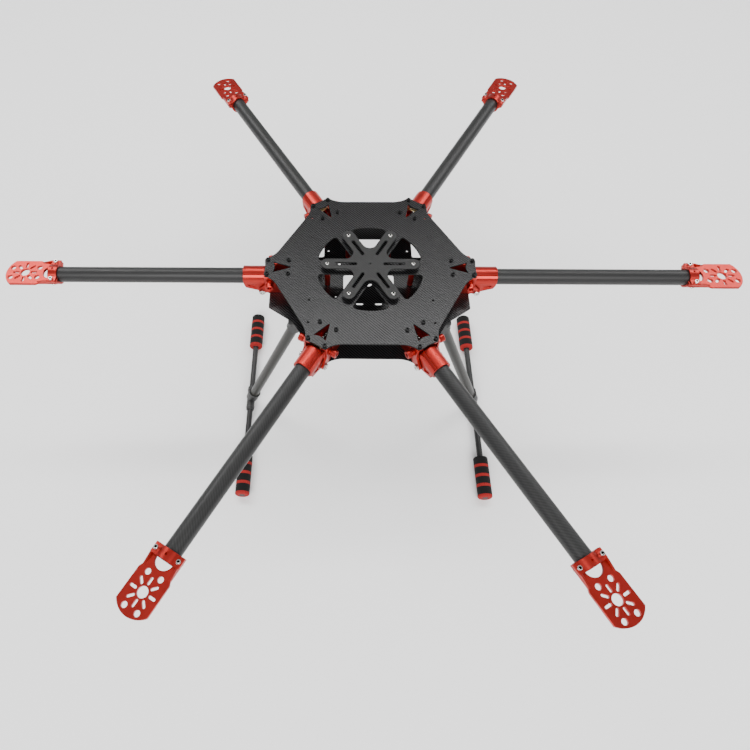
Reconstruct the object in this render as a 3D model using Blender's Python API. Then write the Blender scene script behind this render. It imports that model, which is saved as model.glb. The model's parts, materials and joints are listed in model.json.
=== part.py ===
"""Folding hexacopter frame: two carbon decks, six arms that fold down, T landing gear.

Metres, +Z up.  The origin is on the ground under the centre of the frame, +X runs out along
the right arm and +Y to the rear.  Arm parts are drawn once in the arm's own frame, which has X
outwards along the tube, Y across it and its origin on the frame's centre line at tube height.
"""

import bmesh
import bpy
from math import acos, atan2, cos, degrees, hypot, pi, radians, sin, sqrt, tan
from mathutils import Matrix, Vector

# ---------------------------------------------------------------- driving dimensions
FIT = 0.0003              # gap between pieces that touch
ARM_ANGLES = {
    "right": 0, "rear_right": 60, "rear_left": 120,
    "left": 180, "front_left": 240, "front_right": 300,
}

MOTOR_RADIUS = 0.497      # frame centre to motor axis
TUBE_D = 0.022            # arm tube
TUBE_WALL = 0.001
CLAMP_WALL = 0.0027       # wall of the tube clamps round the tube

DECK_T = 0.002            # carbon plate
DECK_HEADROOM = 0.003     # from a tube clamp to the deck over or under it
SIDE_APOTHEM = 0.128      # frame centre to a straight side of the deck
TAB_END = 0.1488          # frame centre to the end of a deck tab
TAB_HALF = 0.0167         # half width of a tab over its ears
EAR_R = 0.0043
FLARE_DEG = 35            # turn of the concave curve from a side into a tab
TAB_DISH = 0.0010         # hollow of the tab's end
SPOKE_HALF = 0.0125       # half width of the deck's spokes between its windows
WINDOW_R = 0.075          # outer arc of the six deck windows
WINDOW_CORNER = 0.004
ARROW_TIP = 0.1125        # the arrow-shaped window in each tab
ARROW_BACK = 0.1373
ARROW_HALF = 0.0094
ARROW_DISH = 0.0031
WING_X = 0.1435           # the lower deck's side wings
WING_Y = 0.045
WING_SLOPE_DEG = 146.3

STAR_PITCH_R = 0.060      # screws of the star plate, and the columns below them
STAR_ARM_HALF = 0.009
STAR_NOTCH_R = 0.011
STAR_RISE = 0.0059        # from the upper deck to the star plate
STAR_SLOT_IN = 0.0185
STAR_SLOT_OUT = 0.049
STAR_SLOT_HALF = 0.0023
SPACER_D = 0.008
SCREW_HOLE_R = 0.0016

SEAT_IN = 0.1075          # folding seat between the decks
SEAT_OUT = 0.1483
SEAT_WALL = 0.0034
SEAT_FLOOR_T = 0.004
SEAT_FLANGE_HALF = 0.008  # half of the gap between the seat's top flanges
SEAT_HOLE_IN = 0.115      # seat screws, along the arm
SEAT_HOLE_OUT = 0.1445
SEAT_HOLE_Y = 0.0125      # seat screws, across the arm

HINGE_R = 0.154           # frame centre to fold axis
PIN_D = 0.005
LUG_R = 0.0052            # round end of the hinge lugs
PIN_HEAD_R = 0.0042
PIN_HEAD_T = 0.0028
CLAMP_IN = 0.149
CLAMP_OUT = 0.180
CLAMP_TOE_DROP = 0.0105   # underside of the clamp's outer end below the tube's axis
CATCH_HALF = 0.005
CATCH_CLEARANCE = 0.0015

LOCK_R = 0.141            # frame centre to the lock bar when it is home
LOCK_RISE = 0.006         # lock bar above the tube's axis
LOCK_TRAVEL = 0.005
LOCK_BAR_D = 0.004
LOCK_STEM_D = 0.0024
LOCK_STEM_L = 0.0235
KNOB_D = 0.011
KNOB_L = 0.0105
KNOB_SOCKET_D = 0.006
KNOB_SOCKET_DEPTH = 0.004

MOUNT_T = 0.004           # motor mount plate
MOUNT_RISE = 0.005        # its top face above the tube's axis
MOUNT_HALF = 0.021
MOUNT_TIP_R = 0.0275
MOUNT_NECK_HALF = 0.019
MOUNT_CLAMP_L = 0.0133
MOUNT_CLAMP_OFFSET = 0.0500   # motor axis to the inner face of the clamp
NECK_END_OFFSET = 0.0230      # motor axis to the end of the neck
NECK_STEP_L = 0.004
MOUNT_BORE_R = 0.00625
MOUNT_SLOT_IN = 0.0098
MOUNT_SLOT_OUT = 0.0155
MOUNT_SLOT_HALF = 0.0016
MOUNT_HOLE_R = 0.0035
MOUNT_HOLE_X = 0.0193
MOUNT_HOLE_Y = 0.0087
CAP_FLANGE_T = 0.0037

LEG_Y = -0.057            # both legs stand this far to the front
LEG_D = 0.016
LEG_WALL = 0.001
LEG_LEAN_DEG = 21.7
LEG_FOOT_X = 0.202
LEG_DROP = 0.262          # underside of the lower deck to the skid tubes' axis
BRACKET_X = 0.034
BRACKET_Y = 0.030
BRACKET_T = 0.004
BRACKET_SOCKET_L = 0.022
SOCKET_WALL = 0.0022
SKID_D = 0.010
SKID_L = 0.362
TEE_L = 0.046
TEE_WALL = 0.0018
TEE_SOCKET_L = 0.024
FOAM_D = 0.0244
FOAM_L = 0.071

TUBE_SIDES = 18           # facets round the arm tubes and the clamps on them
PIN_SIDES = 8
LEG_SIDES = 12
SKID_SIDES = 12
FOAM_SIDES = 16
FILL_SLANT_DEG = 11.3     # turn of an outline while it is filled

# ---------------------------------------------------------------- sizes that follow
clamp_r = TUBE_D / 2 + FIT + CLAMP_WALL
deck_half_gap = clamp_r + DECK_HEADROOM                 # tube axis to either deck
hinge_z = -clamp_r                                      # fold axis, from the tube's axis
bore_r = TUBE_D / 2 + FIT
foam_flat = FOAM_D / 2 * cos(pi / FOAM_SIDES)
skid_z = foam_flat
lower_deck_z = skid_z + LEG_DROP                        # underside of the lower deck
axis_z = lower_deck_z + DECK_T + deck_half_gap          # the arm tubes' axis
upper_deck_z = axis_z + deck_half_gap                   # underside of the upper deck
tube_in = CLAMP_IN + 0.001
tube_out = MOTOR_RADIUS - MOUNT_CLAMP_OFFSET + MOUNT_CLAMP_L
cheek_in = clamp_r + 2 * FIT
cheek_out = cheek_in + SEAT_WALL

ACROSS = Matrix(((1, 0, 0, 0), (0, 0, -1, 0), (0, 1, 0, 0), (0, 0, 0, 1)))   # drawn in XZ, grows along -Y
OUTWARD = Matrix(((0, 0, 1, 0), (1, 0, 0, 0), (0, 1, 0, 0), (0, 0, 0, 1)))   # drawn in YZ, grows along +X


# ---------------------------------------------------------------- outlines
def arc(cx, cy, r, start, end, steps):
    """Points on an arc, angles in degrees, both ends included."""
    turn = (end - start) / steps
    return [(cx + r * cos(radians(start + turn * i)), cy + r * sin(radians(start + turn * i)))
            for i in range(steps + 1)]


def ring(cx, cy, r, sides):
    """A regular polygon with a flat side at the bottom."""
    return [(cx + r * sin(2 * pi * (i + 0.5) / sides), cy - r * cos(2 * pi * (i + 0.5) / sides))
            for i in range(sides)]


def turned(points, angle):
    c, s = cos(radians(angle)), sin(radians(angle))
    return [(x * c - y * s, x * s + y * c) for x, y in points]


def moved(points, dx, dy):
    return [(x + dx, y + dy) for x, y in points]


def flipped(points):
    """The mirror image across X, in the same sense of turn."""
    return [(x, -y) for x, y in reversed(points)]


def slot(inner, outer, half, steps):
    """A round-ended slot along +X."""
    return arc(outer - half, 0, half, -90, 90, steps) + arc(inner + half, 0, half, 90, 270, steps)


def rounded(points, radius, steps):
    """A closed outline with each corner turned into a fillet."""
    out = []
    for i, corner in enumerate(points):
        here = Vector(corner)
        back = (Vector(points[i - 1]) - here).normalized()
        ahead = (Vector(points[(i + 1) % len(points)]) - here).normalized()
        half = acos(max(-1.0, min(1.0, back.dot(ahead)))) / 2
        centre = here + (back + ahead).normalized() * (radius / sin(half))
        start = here + back * (radius / tan(half)) - centre
        end = here + ahead * (radius / tan(half)) - centre
        a0 = degrees(atan2(start.y, start.x))
        sweep = (degrees(atan2(end.y, end.x)) - a0 + 180) % 360 - 180
        out += arc(centre.x, centre.y, radius, a0, a0 + sweep, steps)
    return out


# ---------------------------------------------------------------- solids
def mesh_of(obj):
    """The evaluated object as a welded mesh in world space.  The object is removed."""
    bpy.context.view_layer.update()
    depsgraph = bpy.context.evaluated_depsgraph_get()
    mesh = bpy.data.meshes.new_from_object(obj.evaluated_get(depsgraph))
    mesh.transform(obj.matrix_world)
    bm = bmesh.new()
    bm.from_mesh(mesh)
    bmesh.ops.remove_doubles(bm, verts=bm.verts, dist=1e-6)
    bm.to_mesh(mesh)
    bm.free()
    bpy.data.objects.remove(obj)
    return mesh


def extruded(outlines, length, matrix):
    """Closed outlines, holes among them, filled and extruded along local +Z from 0 to length.

    The fill fails where edges far apart lie on one level line, so the outline is drawn at a slant.
    """
    curve = bpy.data.curves.new("outline", "CURVE")
    curve.dimensions = "2D"
    curve.fill_mode = "BOTH"
    curve.extrude = length / 2
    for points in outlines:
        spline = curve.splines.new("POLY")
        spline.points.add(len(points) - 1)
        for point, (x, y) in zip(spline.points, turned(points, FILL_SLANT_DEG)):
            point.co = (x, y, 0, 1)
        spline.use_cyclic_u = True
    obj = bpy.data.objects.new("outline", curve)
    bpy.context.scene.collection.objects.link(obj)
    obj.matrix_world = matrix @ shift(0, 0, length / 2) @ Matrix.Rotation(radians(-FILL_SLANT_DEG), 4, "Z")
    return mesh_of(obj)


def rod(radius, length, sides, matrix):
    """A cylinder along local +Z from 0 to length, with a flat at the bottom of its outline."""
    return extruded([ring(0, 0, radius, sides)], length, matrix)


def pipe(outer, inner, length, sides, matrix):
    return extruded([ring(0, 0, outer, sides), ring(0, 0, inner, sides)], length, matrix)


def joined(operation, first, *others):
    """A Boolean of meshes; the meshes used up are removed."""
    base = bpy.data.objects.new("base", first)
    bpy.context.scene.collection.objects.link(base)
    tools = []
    for mesh in others:
        tool = bpy.data.objects.new("tool", mesh)
        bpy.context.scene.collection.objects.link(tool)
        modifier = base.modifiers.new("boolean", "BOOLEAN")
        modifier.operation = operation
        modifier.solver = "EXACT"
        modifier.object = tool
        tools.append(tool)
    result = mesh_of(base)
    for tool in tools:
        bpy.data.objects.remove(tool)
    return result


def union(first, *others):
    return joined("UNION", first, *others)


def cut(first, *others):
    return joined("DIFFERENCE", first, *others)


def shift(x, y, z):
    return Matrix.Translation((x, y, z))


def aimed(start, direction):
    """A frame at start whose local +Z points along direction."""
    return Matrix.Translation(start) @ direction.to_track_quat("Z", "Y").to_matrix().to_4x4()


# ---------------------------------------------------------------- deck outlines
def tab_half():
    """Half of a tab's end and the flare beside it, in the arm's frame, anticlockwise."""
    ear_x = TAB_END - EAR_R
    ear_y = TAB_HALF - EAR_R
    leave = 30 + FLARE_DEG
    ear = arc(ear_x, ear_y, EAR_R, 0, leave, 3)
    end_x, end_y = ear[-1]
    along = end_x * cos(radians(30)) + end_y * sin(radians(30))
    flare_r = (along - SIDE_APOTHEM) / (1 - cos(radians(FLARE_DEG)))
    cx = end_x + flare_r * cos(radians(leave))
    cy = end_y + flare_r * sin(radians(leave))
    return [(TAB_END - TAB_DISH, 0)] + ear + arc(cx, cy, flare_r, 180 + leave, 210, 4)[1:]


def wing_half():
    """The same for the lower deck's left and right tabs, which stand on wings."""
    ear = arc(TAB_END - EAR_R, TAB_HALF - EAR_R, EAR_R, 0, 90, 3)
    slope = radians(WING_SLOPE_DEG)
    reach = (WING_X * cos(radians(30)) + WING_Y * sin(radians(30)) - SIDE_APOTHEM)
    run = reach / -(cos(slope) * cos(radians(30)) + sin(slope) * sin(radians(30)))
    foot = (WING_X + run * cos(slope), WING_Y + run * sin(slope))
    return [(TAB_END - TAB_DISH, 0)] + ear + [(WING_X, TAB_HALF), (WING_X, WING_Y), foot]


def deck_outline(winged):
    points = []
    for angle in ARM_ANGLES.values():
        half = wing_half() if winged and angle % 180 == 0 else tab_half()
        points += turned(flipped(half)[:-1] + half, angle)
    return points


def sector_window():
    """A window between two spokes, drawn about +X."""
    corner_x = SPOKE_HALF * sin(radians(30)) + sqrt(WINDOW_R ** 2 - SPOKE_HALF ** 2) * cos(radians(30))
    corner_y = sqrt(WINDOW_R ** 2 - corner_x ** 2)
    half_turn = degrees(atan2(corner_y, corner_x))
    inset = degrees(WINDOW_CORNER / WINDOW_R)
    root = SPOKE_HALF / sin(radians(30)) + WINDOW_CORNER
    side = WINDOW_CORNER / tan(radians(55))
    near = [(root, WINDOW_CORNER * 0.5), (root, -WINDOW_CORNER * 0.5)]
    low = (corner_x - side * cos(radians(30)), -corner_y + side * sin(radians(30)))
    rim = arc(0, 0, WINDOW_R, -half_turn + inset, half_turn - inset, 6)
    return near + [low] + rim + [(low[0], -low[1])]


def arrow_window():
    """The window in a tab: tip towards the centre, back edge hollow."""
    r = (ARROW_HALF ** 2 + ARROW_DISH ** 2) / (2 * ARROW_DISH)
    turn = degrees(acos((r - ARROW_DISH) / r))
    back = arc(ARROW_BACK + r - ARROW_DISH, 0, r, 180 + turn, 180 - turn, 4)
    tip = [(ARROW_TIP, 0.0008), (ARROW_TIP, -0.0008)]
    return tip + back


def seat_holes():
    return [ring(x, side * SEAT_HOLE_Y, SCREW_HOLE_R, 6)
            for x in (SEAT_HOLE_IN, SEAT_HOLE_OUT) for side in (1, -1)]


def on_every_arm(outlines):
    return [turned(points, angle) for angle in ARM_ANGLES.values() for points in outlines]


# ---------------------------------------------------------------- decks
def upper_deck():
    windows = [turned(sector_window(), angle + 30) for angle in ARM_ANGLES.values()]
    holes = on_every_arm(seat_holes() + [arrow_window(), ring(STAR_PITCH_R, 0, SCREW_HOLE_R, 6)])
    return extruded([deck_outline(False)] + windows + holes, DECK_T, shift(0, 0, upper_deck_z))


def lower_deck():
    """The lower deck, with the six columns that carry the upper one standing on it."""
    rear = rounded([(-0.024, 0.060), (0.024, 0.060), (0.024, 0.0865), (-0.024, 0.0865)], 0.003, 2)
    quarter = [(0.066, 0.050), (0.088, 0.050), (0.088, 0.064), (0.075, 0.082), (0.066, 0.082)]
    middle = [(0.018, -0.012), (0.0368, -0.012), (0.0368, 0.016), (0.018, 0.016)]
    strap = [(0.0085, -0.0386), (0.0185, -0.0386), (0.0185, -0.0352), (0.0085, -0.0352)]
    holes = [rear, ring(0, 0, 0.005, 10)] + on_every_arm(seat_holes())
    for points, radius in ((quarter, 0.003), (middle, 0.003), (strap, 0.0015)):
        fillet = rounded(points, radius, 2)
        holes += [fillet, [(-x, y) for x, y in fillet]]
    plate = extruded([deck_outline(True)] + holes, DECK_T, shift(0, 0, lower_deck_z))
    top = lower_deck_z + DECK_T
    height = upper_deck_z - FIT - top
    columns = []
    for angle in ARM_ANGLES.values():
        x, y = turned([(STAR_PITCH_R, 0)], angle)[0]
        columns.append(rod(SPACER_D / 2, height + DECK_T / 2, 8, shift(x, y, top - DECK_T / 2)))
    return union(plate, *columns)


def star_plate():
    """The star plate on its six spacers."""
    notch_r = (STAR_ARM_HALF + STAR_NOTCH_R) / sin(radians(30))
    outline = []
    for angle in ARM_ANGLES.values():
        outline += turned(arc(STAR_PITCH_R, 0, STAR_ARM_HALF, -90, 90, 6), angle)
        outline += turned(arc(notch_r, 0, STAR_NOTCH_R, 240, 120, 4), angle + 30)
    slots = on_every_arm([slot(STAR_SLOT_IN, STAR_SLOT_OUT, STAR_SLOT_HALF, 3)])
    bottom = upper_deck_z + DECK_T + STAR_RISE
    plate = extruded([outline, ring(0, 0, 0.0012, 6)] + slots, DECK_T, shift(0, 0, bottom))
    spacers = []
    for angle in ARM_ANGLES.values():
        x, y = turned([(STAR_PITCH_R, 0)], angle)[0]
        low = upper_deck_z + DECK_T + FIT
        spacers.append(rod(SPACER_D / 2, bottom + DECK_T / 2 - low, 8, shift(x, y, low)))
    return union(plate, *spacers)


# ---------------------------------------------------------------- arm parts, in the arm's frame
def seat():
    """Fixed folding seat: floor, back wall, flanges, two cheeks with lock tracks and hinge lugs."""
    low = -deck_half_gap + FIT
    high = deck_half_gap - FIT
    lug = arc(HINGE_R, hinge_z, LUG_R, -125, 40, 4)
    side = [(SEAT_IN, low), (SEAT_OUT, low)] + lug + [(SEAT_OUT, 0), (SEAT_OUT, high), (SEAT_IN, high)]
    track = moved(slot(LOCK_R - LOCK_TRAVEL - LOCK_BAR_D / 2 - FIT, LOCK_R + LOCK_BAR_D / 2 + FIT,
                       LOCK_BAR_D / 2 + FIT, 4), 0, LOCK_RISE)
    bore = ring(HINGE_R, hinge_z, PIN_D / 2 + FIT, PIN_SIDES)
    block = extruded([side, track, bore], 2 * cheek_out, shift(0, cheek_out, 0) @ ACROSS)
    floor = low + SEAT_FLOOR_T
    flange = high - SEAT_FLOOR_T
    half = [(SEAT_FLANGE_HALF, high + 0.001), (SEAT_FLANGE_HALF, flange)]
    half += [(cheek_in, flange), (cheek_in, floor)]
    section = half + [(-y, z) for y, z in reversed(half)]
    channel = extruded([section], HINGE_R, shift(SEAT_IN + SEAT_WALL, 0, 0) @ OUTWARD)
    wide = cheek_in + 0.0001
    tall = 2 * deck_half_gap
    section = [(-wide, -tall), (wide, -tall), (wide, tall), (-wide, tall)]
    mouth = extruded([section], HINGE_R, shift(SEAT_OUT - 0.0006, 0, 0) @ OUTWARD)
    return cut(block, channel, mouth)


def tube():
    place = shift(tube_in, 0, 0) @ OUTWARD
    return pipe(TUBE_D / 2, TUBE_D / 2 - TUBE_WALL, tube_out - tube_in, TUBE_SIDES, place)


def tube_clamp():
    """Clamp round the arm tube, with a hinge knuckle under it and a catch under the lock bar."""
    length = CLAMP_OUT - CLAMP_IN
    barrel = rod(clamp_r, length, TUBE_SIDES, shift(CLAMP_IN, 0, 0) @ OUTWARD)
    knuckle = arc(HINGE_R, hinge_z, LUG_R, 180, 290, 4)
    toe = [(CLAMP_OUT - 0.0015, -CLAMP_TOE_DROP), (CLAMP_OUT - 0.0003, -0.001)]
    skirt = [(CLAMP_IN + 0.0003, -0.001)] + knuckle + toe
    slab = extruded([skirt], 2 * clamp_r - 0.0001, shift(0, clamp_r - 0.00005, 0) @ ACROSS)
    reach = hypot(HINGE_R - LOCK_R, LOCK_RISE - hinge_z) - LOCK_BAR_D / 2 - CATCH_CLEARANCE
    nose = arc(HINGE_R, hinge_z, reach, 118, 137, 2)
    root = [(HINGE_R - LUG_R + 0.0003, hinge_z + 0.001), (CLAMP_IN + 0.0015, hinge_z + 0.001),
            (CLAMP_IN + 0.0015, -bore_r - 0.0008), (tube_in - FIT * 2, -bore_r + 0.002)]
    catch = extruded([root + nose], 2 * CATCH_HALF, shift(0, CATCH_HALF, 0) @ ACROSS)
    body = union(barrel, slab)
    body = cut(body, rod(bore_r, length + 0.002, TUBE_SIDES, shift(CLAMP_IN - 0.001, 0, 0) @ OUTWARD))
    pin_bore = rod(PIN_D / 2 + FIT, 4 * clamp_r, PIN_SIDES, shift(HINGE_R, 2 * clamp_r, hinge_z) @ ACROSS)
    return cut(union(body, catch), pin_bore)


def hinge_pin():
    """Through pin with a head at each end, turned about its own axis."""
    end = cheek_out + FIT
    shank = rod(PIN_D / 2, 2 * end + 0.002, PIN_SIDES, shift(HINGE_R, end + 0.001, hinge_z) @ ACROSS)
    heads = [rod(PIN_HEAD_R, PIN_HEAD_T, PIN_SIDES, shift(HINGE_R, y, hinge_z) @ ACROSS)
             for y in (end + PIN_HEAD_T, -end)]
    return union(shank, *heads)


def lock_bar():
    """Cross bar with a knob at each end and a stem that runs back towards the centre."""
    end = cheek_out + FIT + KNOB_L
    at = shift(LOCK_R, 0, LOCK_RISE)
    bar = rod(LOCK_BAR_D / 2, 2 * (end - KNOB_SOCKET_DEPTH) - 0.002, PIN_SIDES,
              at @ shift(0, end - KNOB_SOCKET_DEPTH - 0.001, 0) @ ACROSS)
    stem = rod(LOCK_STEM_D / 2, LOCK_STEM_L, 6, at @ shift(-LOCK_STEM_L, 0, 0) @ OUTWARD)
    knobs = [rod(KNOB_D / 2, KNOB_L, 12, at @ shift(0, y, 0) @ ACROSS) for y in (end, -end + KNOB_L)]
    sockets = [rod(KNOB_SOCKET_D / 2, KNOB_SOCKET_DEPTH + 0.001, 6, at @ shift(0, y, 0) @ ACROSS)
               for y in (end + 0.001, -end + KNOB_SOCKET_DEPTH)]
    return cut(union(bar, stem, *knobs), *sockets)


def motor_mount():
    """Mount plate with its slots and holes, and the lower part of the tube clamp under its inner end."""
    inner = MOTOR_RADIUS - MOUNT_CLAMP_OFFSET
    neck = MOTOR_RADIUS - NECK_END_OFFSET
    tip = degrees(acos(MOUNT_HALF / MOUNT_TIP_R))
    half = arc(MOTOR_RADIUS, 0, MOUNT_TIP_R, 0, 90 - tip, 4)
    half += [(neck + NECK_STEP_L, MOUNT_HALF), (neck, MOUNT_NECK_HALF), (inner, MOUNT_NECK_HALF)]
    holes = [ring(MOTOR_RADIUS, 0, MOUNT_BORE_R, 12)]
    for i in range(8):
        points = turned(slot(MOUNT_SLOT_IN - MOUNT_SLOT_HALF, MOUNT_SLOT_OUT + MOUNT_SLOT_HALF,
                             MOUNT_SLOT_HALF, 2), 45 * i)
        holes.append(moved(points, MOTOR_RADIUS, 0))
    holes += [ring(MOTOR_RADIUS + x, y, MOUNT_HOLE_R, 6)
              for x in (-MOUNT_HOLE_X, MOUNT_HOLE_X) for y in (-MOUNT_HOLE_Y, MOUNT_HOLE_Y)]
    plate = extruded([flipped(half)[:-1] + half] + holes, MOUNT_T, shift(0, 0, MOUNT_RISE - MOUNT_T))
    cradle = [(clamp_r * cos(radians(a)), clamp_r * sin(radians(a))) for a in range(180, 361, 20)]
    cradle += [(clamp_r, MOUNT_RISE - MOUNT_T / 2), (-clamp_r, MOUNT_RISE - MOUNT_T / 2)]
    body = union(plate, extruded([cradle], MOUNT_CLAMP_L, shift(inner, 0, 0) @ OUTWARD))
    bore = rod(bore_r, MOUNT_CLAMP_L + 0.001, TUBE_SIDES, shift(inner - 0.001, 0, 0) @ OUTWARD)
    mouth_r = sqrt(bore_r ** 2 - (MOUNT_RISE - MOUNT_T) ** 2) - 0.0005
    mouth_at = shift(inner + MOUNT_CLAMP_L - 0.0006, 0, MOUNT_RISE - 1.5 * MOUNT_T)
    mouth = rod(mouth_r, 2 * MOUNT_T, 14, mouth_at)
    return cut(body, bore, mouth)


def mount_cap():
    """Upper half of the motor mount's tube clamp, with a screw flange on each side."""
    low = MOUNT_RISE + FIT
    top = low + CAP_FLANGE_T
    outer = degrees(acos(top / clamp_r))
    inner = degrees(acos(low / bore_r))
    ring_out = arc(0, 0, clamp_r, 90 - outer, 90 + outer, 10)
    ring_in = arc(0, 0, bore_r, 90 + inner, 90 - inner, 8)
    half = MOUNT_NECK_HALF + 0.0005
    section = [(half, low), (half, top)] + ring_out + [(-half, top), (-half, low)] + ring_in
    return extruded([section], MOUNT_CLAMP_L - 2 * FIT,
                    shift(MOTOR_RADIUS - MOUNT_CLAMP_OFFSET + FIT, 0, 0) @ OUTWARD)


# ---------------------------------------------------------------- landing gear, side is +1 right, -1 left
def leg_axis(side):
    """The foot of a leg on the skid tube's axis, and the direction up the leg."""
    lean = radians(LEG_LEAN_DEG)
    return Vector((side * LEG_FOOT_X, LEG_Y, skid_z)), Vector((-side * sin(lean), 0, cos(lean)))


def leg_span():
    """Where the leg tube starts and ends, from the skid tube's axis."""
    start = SKID_D / 2 + FIT + TEE_WALL + 2 * FIT
    end = (LEG_DROP - BRACKET_T - 0.006) / cos(radians(LEG_LEAN_DEG))
    return start, end


def leg_tube(side):
    foot, up = leg_axis(side)
    start, end = leg_span()
    return pipe(LEG_D / 2, LEG_D / 2 - LEG_WALL, end - start, LEG_SIDES, aimed(foot + up * start, up))


def leg_bracket(side):
    """Foot plate under the lower deck with a slanted socket for the leg."""
    foot, up = leg_axis(side)
    end = leg_span()[1] + FIT
    top = lower_deck_z - FIT
    centre = foot + up * (LEG_DROP / cos(radians(LEG_LEAN_DEG)))
    half_x = BRACKET_X / 2
    half_y = BRACKET_Y / 2
    corners = [(-half_x, -half_y), (half_x, -half_y), (half_x, half_y), (-half_x, half_y)]
    base = extruded([corners], BRACKET_T, shift(centre.x, centre.y, top - BRACKET_T))
    socket = rod(LEG_D / 2 + FIT + SOCKET_WALL, BRACKET_SOCKET_L + 0.006, LEG_SIDES,
                 aimed(foot + up * (end - BRACKET_SOCKET_L), up))
    wide = [(2 * x, 2 * y) for x, y in corners]
    above = extruded([wide], 4 * BRACKET_SOCKET_L, shift(centre.x, centre.y, top))
    depth = BRACKET_SOCKET_L + 0.02
    bore = rod(LEG_D / 2 + FIT, depth, LEG_SIDES, aimed(foot + up * (end - depth), up))
    return cut(union(base, socket), above, bore)


def along_skid(side, y):
    """A frame on the skid tube's axis of one side, with local +Z to the rear."""
    return aimed(Vector((side * LEG_FOOT_X, y, skid_z)), Vector((0, 1, 0)))


def tee(side):
    """Tee that slides over the skid tube and holds the leg."""
    foot, up = leg_axis(side)
    start = leg_span()[0]
    sleeve_r = SKID_D / 2 + FIT + TEE_WALL
    socket_r = LEG_D / 2 + FIT + TEE_WALL
    sleeve = rod(sleeve_r, TEE_L, SKID_SIDES, along_skid(side, LEG_Y - TEE_L / 2))
    socket = rod(socket_r, TEE_SOCKET_L, LEG_SIDES, aimed(foot + up * 0.004, up))
    leg_bore = rod(LEG_D / 2 + FIT, TEE_SOCKET_L, LEG_SIDES, aimed(foot + up * (start - FIT), up))
    skid_bore = rod(SKID_D / 2 + FIT, 2 * TEE_L, SKID_SIDES, along_skid(side, LEG_Y - TEE_L))
    return cut(union(sleeve, socket), leg_bore, skid_bore)


def skid_tube(side):
    return rod(SKID_D / 2, SKID_L, SKID_SIDES, along_skid(side, LEG_Y - SKID_L / 2))


def foam(side, start):
    """Foam sleeve on the skid tube; the ground runs along its lowest flat."""
    return pipe(FOAM_D / 2, SKID_D / 2 + FIT, FOAM_L, FOAM_SIDES, along_skid(side, start))


# ---------------------------------------------------------------- materials and objects
def material(name, color, roughness, metallic):
    mat = bpy.data.materials.new(name)
    mat.use_nodes = True
    shader = mat.node_tree.nodes["Principled BSDF"]
    shader.inputs["Base Color"].default_value = (*color, 1)
    shader.inputs["Roughness"].default_value = roughness
    shader.inputs["Metallic"].default_value = metallic
    return mat


def pivot(name, place):
    """An empty on a joint's axis; a moving body's pieces hang on it."""
    empty = bpy.data.objects.new(name, None)
    empty.empty_display_size = 0.01
    empty.matrix_world = place
    collection.objects.link(empty)
    return empty


def put(name, mesh, mat, parent=None, origin=Vector((0, 0, 0)), turn=None):
    """One sub-part as one object.  origin is the parent's place in the frame the mesh is drawn in."""
    obj = bpy.data.objects.new(name, mesh)
    collection.objects.link(obj)
    if not mesh.materials:
        mesh.materials.append(mat)
        mesh.shade_smooth()
        mesh.set_sharp_from_angle(angle=radians(35))
    if parent:
        obj.parent = parent
        obj.location = -origin
    elif turn:
        obj.matrix_world = turn
    return obj


def build_decks():
    put("upper_deck", upper_deck(), carbon_plate)
    put("lower_deck", lower_deck(), carbon_plate)
    put("star_plate", star_plate(), carbon_plate)


def build_arms():
    fixed = {"seat": (seat(), red_metal), "hinge_pin": (hinge_pin(), steel)}
    folding = {
        "tube_clamp": (tube_clamp(), red_metal),
        "arm_tube": (tube(), carbon_tube),
        "motor_mount": (motor_mount(), red_metal),
        "mount_cap": (mount_cap(), red_metal),
    }
    lock = lock_bar()
    fold_axis = Vector((HINGE_R, 0, hinge_z))
    lock_home = Vector((LOCK_R, 0, LOCK_RISE))
    for arm, angle in ARM_ANGLES.items():
        frame = shift(0, 0, axis_z) @ Matrix.Rotation(radians(angle), 4, "Z")
        for part, (mesh, mat) in fixed.items():
            put(f"{part}_{arm}", mesh, mat, turn=frame)
        fold = pivot(f"fold_{arm}", frame @ Matrix.Translation(fold_axis))
        for part, (mesh, mat) in folding.items():
            put(f"{part}_{arm}", mesh, mat, fold, fold_axis)
        slide = pivot(f"lock_{arm}", frame @ Matrix.Translation(lock_home))
        put(f"lock_bar_{arm}", lock, brass, slide, lock_home)


def build_gear():
    front = LEG_Y - SKID_L / 2
    rear = LEG_Y + SKID_L / 2 - FOAM_L
    for side, name in ((1, "right"), (-1, "left")):
        put(f"leg_bracket_{name}", leg_bracket(side), black_plastic)
        put(f"leg_tube_{name}", leg_tube(side), carbon_tube)
        put(f"gear_tee_{name}", tee(side), black_plastic)
        put(f"skid_tube_{name}", skid_tube(side), carbon_tube)
        put(f"foam_front_{name}", foam(side, front), foam_black)
        put(f"foam_rear_{name}", foam(side, rear), foam_black)


for old in list(bpy.data.objects):
    bpy.data.objects.remove(old)
collection = bpy.data.collections.new("hexacopter_frame")
bpy.context.scene.collection.children.link(collection)
carbon_plate = material("carbon_plate", (0.055, 0.055, 0.058), 0.42, 0.0)
carbon_tube = material("carbon_tube", (0.050, 0.050, 0.050), 0.48, 0.0)
red_metal = material("red_anodised", (0.55, 0.035, 0.025), 0.32, 1.0)
brass = material("brass", (0.75, 0.60, 0.35), 0.30, 1.0)
steel = material("steel", (0.62, 0.62, 0.60), 0.30, 1.0)
black_plastic = material("black_plastic", (0.02, 0.02, 0.02), 0.50, 0.0)
foam_black = material("foam", (0.025, 0.025, 0.025), 0.90, 0.0)
build_decks()
build_arms()
build_gear()
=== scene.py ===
import json
import time
import bmesh
import bpy
from math import acos, asin, atan2, cos, degrees, pi, radians, sin, sqrt, tan
from mathutils import Matrix, Vector

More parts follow.
